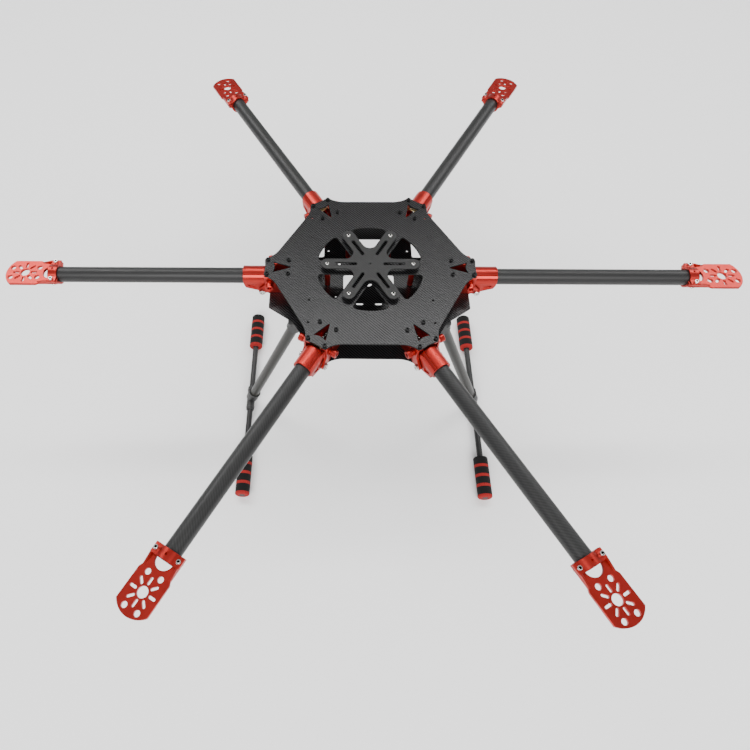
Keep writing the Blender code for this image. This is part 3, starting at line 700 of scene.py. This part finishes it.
def buildDecks(sizes):
    inside, small = pick(sizes, "halfGap smallHole")
    top = inside + sizes["thickness"]
    upper = [deckOutline(sizes, False), *onEveryArm([arrowWindow(sizes)])]
    upper += [turned(sectorWindow(sizes), angle + 30) for angle in arms.values()]
    upper += mirroredHoles([(84, 57, 1.4), (84, -57, small), (84, -94, small), (84, 94, 1.4), (42.9, 5.9, 2.2)])
    mesh = asMesh("upperDeck", plateSolid(upper, inside, top))
    addPiece("upperDeckPlate", mesh, carbonSheet, whole, "frame", "carbon_plate", "upper_deck")
    lower = [deckOutline(sizes, True), circle(0, 0, 5.0), rounded(rectangle(-24, 60, 24, 86.5), 3.0)]
    for points, radius in (([(66, 50), (88, 50), (88, 64), (75, 82), (66, 82)], 3.0),
                           (rectangle(18, -12, 36.8, 16), 3.0), (rectangle(8.5, -38.6, 18.5, -35.2), 1.6)):
        fillet = rounded(points, radius)
        lower += [fillet, [(-x, y) for x, y in fillet]]
    lower += mirroredHoles([(42.9, 37.2, 2.4), (42.9, 18.0, 2.0), (59.4, 62.4, small), (48, -24, 1.4), (48, -38, 1.4)])
    mesh = asMesh("lowerDeck", plateSolid(lower, -top, -inside))
    addPiece("lowerDeckPlate", mesh, carbonSheet, whole, "frame", "carbon_plate", "lower_deck")


buildDecks(deckSizes)

starSizes = {
    "pitch": 60.0, "armHalf": 9.0, "notch": 11.0, "rise": 5.9, "slotIn": 18.5, "slotOut": 49.0, "slotHalf": 2.3,
    "columnWidth": 8.0, "columnFoot": 4.0, "spacerWidth": 7.4,
}


def buildStar(sizes, deck):
    pitch, armHalf, notch, rise = pick(sizes, "pitch armHalf notch rise")
    inside, thick = pick(deck, "halfGap thickness")
    outline = []
    for angle in arms.values():
        outline += turned(arc(pitch, 0, armHalf, -90, 90, 16), angle)
        outline += turned(arc((armHalf + notch) / sin30, 0, notch, 240, 120, 12), angle + 30)
    loops = [outline, circle(0, 0, 1.3, 14), *onEveryArm([oblong(*pick(sizes, "slotIn slotOut slotHalf"))])]
    deckTop = inside + thick
    starTop = deckTop + rise + thick
    mesh = asMesh("star", plateSolid(loops, deckTop + rise, starTop, 0.3))
    addPiece("starPlate", mesh, carbonStar, whole, "frame", "carbon_plate", "star_plate")
    column = library("columnPart", columnMesh(2 * inside, sizes["columnWidth"], sizes["columnFoot"]))
    spacer = library("spacerPart", columnMesh(rise, sizes["spacerWidth"], sizes["spacerWidth"] / 2 - 0.3))
    inner = [turned([(pitch, 0)], angle)[0] for angle in arms.values()]
    outer = [turned([(x, y * deck["seatScrewY"])], angle)[0] for angle in arms.values()
             for x in (deck["seatScrewIn"], deck["seatScrewOut"]) for y in (1, -1)]
    for name, part, spots, z, up, finish, slot in (
            ("starScrews", buttonScrew, inner, starTop, 1, brightSteel, "steel"),
            ("deckColumns", column, inner, -inside, 1, redAnodised, "red_anodised"),
            ("starSpacers", spacer, inner, deckTop, 1, blackNylon, "black_plastic"),
            ("columnScrews", capScrew, inner, -deckTop, -1, blackOxide, "steel"),
            ("upperDeckScrews", capScrew, outer, deckTop, 1, blackOxide, "steel"),
            ("lowerDeckScrews", capScrew, outer, -deckTop, -1, blackOxide, "steel")):
        setParts(name, part, [((x, y, z), (0, 0, up)) for x, y in spots], finish, whole, "frame", slot)


buildStar(starSizes, deckSizes)
report("decks and star")


# folding seats, hinges and locks
seatSizes = {
    "in": 107.5, "out": 148.3, "wall": 3.4, "cheekIn": 14.6, "floor": 4.0, "halfHeight": 16.7, "flangeHalf": 8.0,
    "hinge": 154.0, "hingeZ": -14.0, "lug": 5.2, "pin": 2.5, "lock": 141.0, "lockZ": 6.0, "travel": 5.0,
}


def seatMesh(sizes):
    start, end, thick, cheek, floor = pick(sizes, "in out wall cheekIn floor")
    hinge, hingeZ, lock, high = pick(sizes, "hinge hingeZ lock halfHeight")
    low = -high
    lug = arc(hinge, hingeZ, sizes["lug"], -125, 40, 14)
    outline = [(start, low), (end, low)] + lug + [(end, 0), (end, high), (start, high)]
    track = shifted(oblong(lock - sizes["travel"] - 2.3, lock + 2.3, 2.3), 0, sizes["lockZ"])
    bore = circle(hinge, hingeZ, sizes["pin"] + 0.3, 20)
    solid = bmesh.new()
    for near, far in bothSides(cheek, cheek + thick):
        joinInto(solid, plateSolid([outline, track, bore], near, far, 0.35), standY)
    wide = cheek + 0.5
    inX, outX = start + 0.4, end - 0.6
    joinInto(solid, plateSolid([rounded(rectangle(inX, -wide, outX, wide), 0.5, 2)], low, low + floor, 0.3))
    back = plateSolid([rectangle(-wide, low + 0.3, wide, high - 0.3)], inX - 0.4, inX + thick - 0.4, 0.3)
    joinInto(solid, back, standX)
    for near, far in bothSides(sizes["flangeHalf"], wide):
        joinInto(solid, plateSolid([rounded(rectangle(inX, near, outX, far), 0.5, 2)], high - floor, high, 0.3))
    return asMesh("seat", solid)


def hingePinMesh(sizes):
    end = sizes["cheekIn"] + sizes["wall"] + 0.3
    head = [(-0.1, 0), (0, 2.5), (0, 4.2), (-2.4, 4.2), (-2.8, 3.8), (-2.8, 2.0), (-2.6, 1.5, "hex"),
            (-1.3, 1.5, "hex"), (-1.2, 0)]
    nut = [(0, 2.0), (0, 3.9, "hex"), (0.3, 4.1, "hex"), (2.5, 4.1, "hex"), (2.8, 3.8, "hex"), (2.8, 2.4), (1.9, 2.2),
           (1.9, 0)]
    solid = latheSolid(slid(head, -end), 24)
    joinInto(solid, latheSolid(rodProfile(-end - 0.1, end + 0.1, 2.5), 24))
    joinInto(solid, latheSolid(slid(nut, end), 24))
    return asMesh("hingePin", placed(solid, move(sizes["hinge"], 0, sizes["hingeZ"]) @ xToY))


def lockMeshes(sizes):
    end = sizes["cheekIn"] + sizes["wall"] + 0.3
    at = move(sizes["lock"], 0, sizes["lockZ"])
    bar = [(-end - 6, 0), (-end - 6, 2.0), (-6, 2.0), (-5, 3.1), (5, 3.1), (6, 2.0), (end + 6, 2.0), (end + 6, 0)]
    knob = [(0, 0), (0, 4.6), (0.5, 5.1), (2.2, 5.1), (2.6, 4.5), (3.4, 4.5), (3.9, 5.5), (9.9, 5.5), (10.5, 4.9),
            (10.5, 3.4), (10.1, 3.0), (6.5, 3.0), (6.2, 0)]
    knobs = bmesh.new()
    for turn in (xToY, xToY.inverted()):
        joinInto(knobs, latheSolid(slid(knob, end), 32), at @ turn)
    stem = [(-23.5, 0), (-23.5, 0.9), (-23.2, 1.2), (-3.6, 1.2), (-3.6, 1.9), (-2.4, 1.9), (-2.4, 0)]
    return (asMesh("lockBar", placed(latheSolid(bar, 24), at @ xToY)), asMesh("lockKnobs", knobs),
            asMesh("lockStem", placed(latheSolid(stem, 20), at)))


def springMesh(sizes, finish):
    # from the seat's back wall to the stem's collar
    start = sizes["in"] + sizes["wall"] + 0.3
    end = sizes["lock"] - 4.2
    mesh = grown(coilSpring, {"Length": end - start, "Finish": finish})
    mesh.transform(move(start, 0, sizes["lockZ"]) @ zToX)
    mesh.shade_smooth()
    return mesh, start, end


def buildSeats(sizes):
    seat, pin = seatMesh(sizes), hingePinMesh(sizes)
    bar, knobs, stem = lockMeshes(sizes)
    spring, start, end = springMesh(sizes, blackOxide)
    for arm in arms:
        place, lock = armPlace(arm), f"lock_{arm}"
        addPiece(f"seatBody_{arm}", seat, redAnodised, place, "frame", "red_anodised", f"seat_{arm}")
        addPiece(f"hingeBolt_{arm}", pin, brightSteel, place, "frame", "steel", f"hinge_pin_{arm}")
        addPiece(f"lockCrossBar_{arm}", bar, polishedBrass, place, lock, "brass", f"lock_bar_{arm}")
        addPiece(f"lockKnobs_{arm}", knobs, redAnodised, place, lock, "red_anodised")
        addPiece(f"lockStem_{arm}", stem, brightSteel, place, lock, "steel")
        coil = addPiece(f"lockSpring_{arm}", spring, blackOxide, place, "frame", "steel")
        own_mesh(coil)


buildSeats(seatSizes)
report("seats and locks")


# arm tubes and the clamps that fold with them
clampSizes = {
    "in": 149.0, "out": 180.0, "radius": 14.0, "bore": 11.3, "toe": -10.5, "side": 13.95, "hinge": 154.0,
    "hingeZ": -14.0, "lug": 5.2, "pinBore": 2.8, "catchReach": 20.4, "catchHalf": 5.0,
}


def clampSection(sizes):
    # the round of the clamp, with a flat land and two grooves on each shoulder
    r = sizes["radius"]
    half = arc(0, 0, r, 90, 58, 8) + [(r * cos(radians(56)) - 0.5, r * sin(radians(56)) - 0.7)]
    half += arc(0, 0, r, 53, 37, 4) + [(r * cos(radians(35)) - 0.7, r * sin(radians(35)) - 0.5)]
    half += arc(0, 0, r, 32, 0, 8) + arc(0, 0, r, 0, -90, 14)[1:]
    return half + [(-x, y) for x, y in reversed(half)][1:-1]


def clampMesh(sizes):
    start, end, bore, side = pick(sizes, "in out bore side")
    hinge, hingeZ, lug, catchHalf = pick(sizes, "hinge hingeZ lug catchHalf")
    solid = bmesh.new()
    joinInto(solid, plateSolid([clampSection(sizes), circle(0, 0, bore, 48)], start, end, 0.4), standX)
    skirt = [(start + 0.3, -1.0)] + arc(hinge, hingeZ, lug, 180, 290, 10)
    skirt += [(end - 2.2, sizes["toe"]), (end - 0.3, -4.0), (end - 0.3, -1.0)]
    slab = placed(plateSolid([skirt, circle(hinge, hingeZ, sizes["pinBore"], 20)], -side, side, 0.45), standY)
    slab = carved(slab, latheSolid(rodProfile(start - 5, end + 5, bore + 0.2), 48))
    for near, far in bothSides(12.6, 15.0):
        pocket = plateSolid([rounded([(163, -3.5), (175.5, -3.5), (172, -8.0), (163, -13.2)], 1.2)], near, far, 0.2)
        slab = carved(slab, placed(pocket, standY))
    joinInto(solid, slab)
    nose = arc(hinge, hingeZ, sizes["catchReach"], 118, 137, 5)
    catch = [(149.1, -13), (150.5, -13), (150.5, -12.1), (149.4, -9.3)] + nose
    joinInto(solid, plateSolid([catch], -catchHalf, catchHalf, 0.25), standY)
    return asMesh("clamp", solid)


def tubeMesh(start, end, radius, bore, steps=56):
    ease = 0.25
    profile = [(start + ease, radius), (end - ease, radius), (end, radius - ease), (end, bore + ease),
               (end - ease, bore), (start + ease, bore), (start, bore + ease), (start, radius - ease)]
    return asMesh("tube", latheSolid(profile, steps, closed=True))


# motor mounts
mountSizes = {
    "hub": 497.0, "half": 21.0, "tip": 27.5, "neckHalf": 19.0, "neckEnd": 474.0, "step": 4.0, "in": 447.0,
    "clamp": 13.3, "low": 1.0, "top": 5.0, "bore": 6.25, "slotIn": 8.2, "slotOut": 17.1, "slotHalf": 1.6,
    "holeR": 3.5, "holeX": 19.3, "holeY": 8.7, "mouth": 10.8, "flange": 9.0, "radius": 14.0, "tubeBore": 11.3,
    "tube": (11.0, 10.0), "screwX": 453.5, "screwY": 15.6, "screwTop": 11.9,
}


def mountMesh(sizes):
    hub, half, tipR, neckHalf, neckEnd = pick(sizes, "hub half tip neckHalf neckEnd")
    start, length, low, top, flange = pick(sizes, "in clamp low top flange")
    outer = arc(hub, 0, tipR, 0, 90 - degrees(acos(half / tipR)), 16)
    outer += rounded([outer[-1], (neckEnd + sizes["step"], half), (neckEnd, neckHalf), (start, neckHalf)],
                     [0, 4.0, 3.0, 0], 4)[1:]
    end = start + length
    outer += [(start, 11.05), (end - 0.6, 11.05)] + arc(end - 0.6, 0, sizes["mouth"], 90, 0, 14)
    slot = oblong(*pick(sizes, "slotIn slotOut slotHalf"))
    holeR, holeX, holeY = pick(sizes, "holeR holeX holeY")
    loops = [outer + flipped(outer)[1:-1], circle(hub, 0, sizes["bore"], 36)]
    loops += [shifted(turned(slot, 45 * i), hub, 0) for i in range(8)]
    loops += [circle(hub + x, y, holeR, 24) for x in (-holeX, holeX) for y in (-holeY, holeY)]
    solid = plateSolid(loops, low, top, 0.35)
    # lower half of the tube clamp
    r, bore = pick(sizes, "radius tubeBore")
    turn = degrees(asin((top - 0.2) / bore))
    section = arc(0, 0, r, 180, 360, 28) + [(r, low + 1), (r, top - 0.2)]
    section += arc(0, 0, bore, turn, -180 - turn, 36) + [(-r, top - 0.2)]
    joinInto(solid, plateSolid([section], start, end, 0.3), standX)
    lug = [(-19, low + 0.3), (-13.6, -2.5), (-13.6, top - 0.4), (-19, top - 0.4)]
    rib = [(459.5, 3.0), (476, 3.0), (475, top + 0.1), (461.5, flange), (459.5, flange)]
    for points, (near, far) in zip((lug, [(-x, y) for x, y in reversed(lug)]), bothSides(16.7, 18.8)):
        joinInto(solid, plateSolid([points], start + 0.2, end - 0.2, 0.3), standX)
        joinInto(solid, plateSolid([rib], near, far, 0.3), standY)
    return asMesh("mountPlate", solid)


def capMesh(sizes):
    r, bore, start, length, high = pick(sizes, "radius tubeBore in clamp flange")
    low, half = sizes["top"] + 0.3, sizes["neckHalf"] + 0.5
    outer, inner = degrees(acos(high / r)), degrees(acos(low / bore))
    section = [(half, low), (half, high)] + arc(0, 0, r, 90 - outer, 90 + outer, 30)
    section += [(-half, high), (-half, low)] + arc(0, 0, bore, 90 + inner, 90 - inner, 28)
    section = rounded(section, [0.6, 1.2, 1.0] + [0] * 29 + [1.0, 1.2, 0.6] + [0] * 29, 3)
    solid = placed(plateSolid([section], start + 0.3, start + length - 0.3, 0.35), standX)
    hole = placed(latheSolid(rodProfile(0, 5, 1.5), 20), move(sizes["screwX"], 0, sizes["screwTop"]) @ xToZ)
    return asMesh("mountCap", carved(solid, hole))


def buildArms(clamp, mount):
    clampBody, plate, cap = clampMesh(clamp), mountMesh(mount), capMesh(mount)
    tube = tubeMesh(tubeLow.x * 1000, tubeHigh.x * 1000, *mount["tube"])
    x, y, flange, low = pick(mount, "screwX screwY flange low")
    screws, nuts = ([((x, side * y, z), (0, 0, up)) for side in (1, -1)] for z, up in ((flange, 1), (low - 0.9, -1)))
    for arm in arms:
        place, body = armPlace(arm), f"arm_{arm}"
        addPiece(f"tubeClampBody_{arm}", clampBody, redAnodised, place, body, "red_anodised", f"tube_clamp_{arm}")
        addPiece(f"armTubeWeave_{arm}", tube, carbonTube, place, body, "carbon_tube", f"arm_tube_{arm}")
        addPiece(f"mountPlate_{arm}", plate, redAnodised, place, body, "red_anodised", f"motor_mount_{arm}")
        addPiece(f"mountClampCap_{arm}", cap, redAnodised, place, body, "red_anodised", f"mount_cap_{arm}")
        setParts(f"mountScrews_{arm}", capScrew, screws, brightSteel, place, body, "steel")
        setParts(f"mountNuts_{arm}", hexNut, nuts, brightSteel, place, body, "steel")


buildArms(clampSizes, mountSizes)
report("arms and motor mounts")


# landing gear
gearSizes = {
    "lean": 21.7, "drop": 262.0, "leg": 8.0, "legBore": 7.0, "skid": 5.0, "teeWall": 1.8, "tee": 46.0,
    "teeSocket": 24.0, "bracket": (34.0, 30.0, 4.0), "bracketTop": -10.0, "bracketSocket": 22.0, "foam": 12.2,
    "foamLength": 71.0, "band": 5.5, "bandPitch": 17.0, "firstBand": 16.5, "bandProud": 0.05, "holeX": 12.5,
    "holeY": 11.2,
}


def foamMesh(sizes):
    # from its outer end at 0, rounded over, to the coloured end
    r, length = sizes["foam"] - 0.05, sizes["foamLength"] - 5.0
    profile = [(0.0, 6.2), (0.0, r - 2.2), (0.35, r - 1.1), (1.1, r - 0.35), (2.4, r)]
    profile += [(2.4 + (length - 2.4) * i / 20, r - 0.12 * (i % 3 == 1)) for i in range(1, 20)]
    profile += [(length, r), (length, 5.4), (1.2, 5.4)]
    return asMesh("foam", latheSolid(profile, 40, closed=True), 50)


def bandMesh(sizes):
    r, half = sizes["foam"] + sizes["bandProud"], sizes["band"] / 2
    profile = [(-half, r - 0.7), (-half + 0.3, r - 0.1), (-half + 0.9, r), (half - 0.9, r), (half - 0.3, r - 0.1),
               (half, r - 0.7), (half, r - 1.6), (-half, r - 1.6)]
    return asMesh("band", placed(latheSolid(profile, 40, closed=True), xToY), 50)


def foamEndMesh(sizes):
    r = sizes["foam"]
    profile = [(-5.2, r - 0.7), (-4.9, r), (-2.6, r), (-1.0, r - 1.0), (-0.1, r - 2.8), (0.0, r - 4.0), (0.0, 6.0),
               (-0.6, 5.45), (-5.2, 5.45)]
    return asMesh("foamEnd", latheSolid(slid(profile, sizes["foamLength"]), 40, closed=True), 50)


def bracketMesh(sizes, lean):
    # drawn about the leg's axis where it meets the deck, z down from the deck
    wide, deep, thick = sizes["bracket"]
    plate = rounded(rectangle(-wide / 2, -deep / 2, wide / 2, deep / 2), 4.0)
    solid = plateSolid([plate], -thick, -0.3, 0.4)
    r, top = sizes["leg"] + 0.3, sizes["bracketTop"]
    low = top - sizes["bracketSocket"]
    socket = [(low, r), (low, r + 1.4), (low + 0.8, r + 2.2), (top - 2, r + 2.2), (top - 2, r)]
    joinInto(solid, latheSolid(socket, 40, closed=True), Matrix.Rotation(lean, 4, "Y") @ xToZ)
    for side, (near, far) in zip((1, -1), bothSides(8.2, 10.4)):
        gusset = [(-12, -3.5), (12, -3.5), (side * 2 + 9, -11), (side * 2 - 6, -11)]
        joinInto(solid, plateSolid([gusset], near, far, 0.3), standY)
    return asMesh("bracket", solid)


def teeMesh(sizes, lean):
    r, s, half = sizes["skid"] + 0.3, sizes["leg"] + 0.3, sizes["tee"] / 2
    out, wall = r + sizes["teeWall"], s + sizes["teeWall"]
    sleeve = [(-half, r), (-half, out - 0.5), (-half + 0.6, out), (half - 0.6, out), (half, out - 0.5), (half, r)]
    solid = placed(latheSolid(sleeve, 40, closed=True), xToY)
    length = 4.0 + sizes["teeSocket"]
    socket = [(4.2, 0), (4.2, wall - 2.5), (6.0, wall - 0.4), (7.5, wall), (length - 3.6, wall),
              (length - 3.2, wall + 0.35), (length - 0.5, wall + 0.35), (length, wall - 0.3), (length, s), (8.0, s),
              (8.0, 0)]
    joinInto(solid, latheSolid(socket, 40), Matrix.Rotation(lean, 4, "Y") @ xToZ)
    ring = [(-1.6, out - 0.3), (-1.3, out + 0.5), (1.3, out + 0.5), (1.6, out - 0.3)]
    for y in (-half + 5.5, half - 5.5):
        joinInto(solid, latheSolid(slid(ring, y), 40, closed=True), xToY)
    return asMesh("tee", solid)


def skidMesh(length, radius):
    half = length / 2
    profile = [(-half, 0), (-half, radius - 0.5), (-half + 0.5, radius), (half - 0.5, radius), (half, radius - 0.5),
               (half, 0)]
    return asMesh("skid", placed(latheSolid(profile, 36), xToY))


def buildGear(sizes):
    band = library("bandPart", bandMesh(sizes))
    foam, foamEnd = foamMesh(sizes), foamEndMesh(sizes)
    radius, drop, length, holeX, holeY, plate = pick(sizes, "skid drop foamLength holeX holeY bracket")
    lean = radians(sizes["lean"])
    for side, sign in sides.items():
        skidLow, skidHigh = (v * 1000 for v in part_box(f"skid_tube_{side}"))
        foot = (skidLow + skidHigh) / 2
        footPlace = toMetres @ Matrix.Translation(foot)
        along = footPlace @ Matrix.Rotation(-sign * lean, 4, "Y") @ xToZ
        leg = tubeMesh(radius + 2.7, drop / cos(lean) - 10.8, sizes["leg"], sizes["legBore"], 48)
        addPiece(f"legTubeWeave_{side}", leg, carbonLeg, along, "frame", "carbon_tube", f"leg_tube_{side}")
        top = footPlace @ move(-sign * drop * tan(lean), 0, drop)
        bracket = bracketMesh(sizes, -sign * lean)
        addPiece(f"legBracketBody_{side}", bracket, blackNylon, top, "frame", "black_plastic", f"leg_bracket_{side}")
        holes = [((x, y, -plate[2]), (0, 0, -1)) for x in (-holeX, holeX) for y in (-holeY, holeY)]
        setParts(f"bracketScrews_{side}", capScrew, holes, blackOxide, top, "frame", "steel")
        tee = teeMesh(sizes, -sign * lean)
        addPiece(f"gearTeeBody_{side}", tee, blackNylon, footPlace, "frame", "black_plastic", f"gear_tee_{side}")
        skid = skidMesh(skidHigh.y - skidLow.y, radius)
        addPiece(f"skidRod_{side}", skid, carbonTube, footPlace, "frame", "carbon_tube", f"skid_tube_{side}")
        for end, start in (("front", skidLow.y + length), ("rear", skidHigh.y)):   # coloured ends forward
            place = toMetres @ move(foot.x, start, foot.z) @ Matrix.Rotation(pi, 4, "Z")
            name = f"{end}_{side}"
            sleeve = addPiece(f"foamSleeve_{name}", foam, blackFoam, place @ xToY, "frame", "foam", f"foam_{name}")
            tip = addPiece(f"foamEnd_{name}", foamEnd, redFoam, place @ xToY, "frame", "foam")
            rings = grown(bandRow, {"Band": band, "Start": (0, sizes["firstBand"], 0), "Pitch": sizes["bandPitch"],
                                    "Finish": redFoam})
            bands = addPiece(f"foamBands_{name}", rings, redFoam, place, "frame", "foam")
            for soft in (sleeve, tip, bands):
                for vertex in soft.data.vertices:   # pressed flat where it stands
                    vertex.co.z = max(vertex.co.z, 0.0)


buildGear(gearSizes)
report("landing gear")

for part in [o for o in bpy.data.objects if o.name.endswith("Part")]:
    bpy.data.objects.remove(part)


# floor, light and camera
studio = {"floor": 0.94, "reach": 30.0, "sky": 0.42, "aim": (0, 0, 0.3), "lamps": {
    "keyLamp": (76.0, (-0.1, 1.52, 3.0), (4.0, 0.46)), "frontLamp": (330.0, (0.0, -3.4, 3.2), (5.0, 2.0)),
    "rightLamp": (40.0, (2.45, 1.84, 2.55), (1.5, 1.5)), "leftLamp": (46.0, (-2.2, 1.94, 2.67), (1.5, 1.5))}}


def areaLight(name, power, place, size, aim):
    data = bpy.data.lights.new(name, "AREA")
    data.shape = "RECTANGLE"
    data.size, data.size_y = size
    data.energy = power
    light = newObject(name, data)
    light.location = place
    light.rotation_euler = (Vector(aim) - Vector(place)).to_track_quat("-Z", "Y").to_euler()


def buildStudio(values):
    mesh = bpy.data.meshes.new("floor")
    reach = values["reach"]
    mesh.from_pydata([(x, y, 0) for x, y in rectangle(-reach, -reach, reach, reach)], [], [(0, 1, 2, 3)])
    floor = newObject("floor", mesh)
    paper, tree, shader, wearAndEdgeHighlight, _ = startMaterial("floorPaper", {"Roughness": 0.9, "Specular IOR Level": 0.1}, 2.0)
    white = values["floor"]
    plug(tree, shader.inputs["Base Color"], blendColour(tree, wearAndEdgeHighlight["Smudge"], grey(white), grey(white * 1.01)))
    mesh.materials.append(paper)
    world = bpy.data.worlds.new("studio")
    world.use_nodes = True
    backdrop = world.node_tree.nodes["Background"].inputs
    backdrop["Color"].default_value = (1, 1, 1, 1)
    backdrop["Strength"].default_value = values["sky"]
    bpy.context.scene.world = world
    for name, (power, place, size) in values["lamps"].items():
        areaLight(name, power, place, size, values["aim"])


view = {"place": (-0.04469, -0.51519, 0.92198), "turn": (29.62, 0.728, 0.957), "lens": 26.76,
        "shift": (0.0646, -0.0052)}


def buildCamera(values):
    data = bpy.data.cameras.new("camera")
    data.sensor_width = 36
    data.lens = values["lens"]
    data.shift_x, data.shift_y = values["shift"]
    camera = newObject("camera", data)
    camera.location = values["place"]
    camera.rotation_euler = [radians(v) for v in values["turn"]]
    bpy.context.scene.camera = camera


buildStudio(studio)
buildCamera(view)
report("studio")
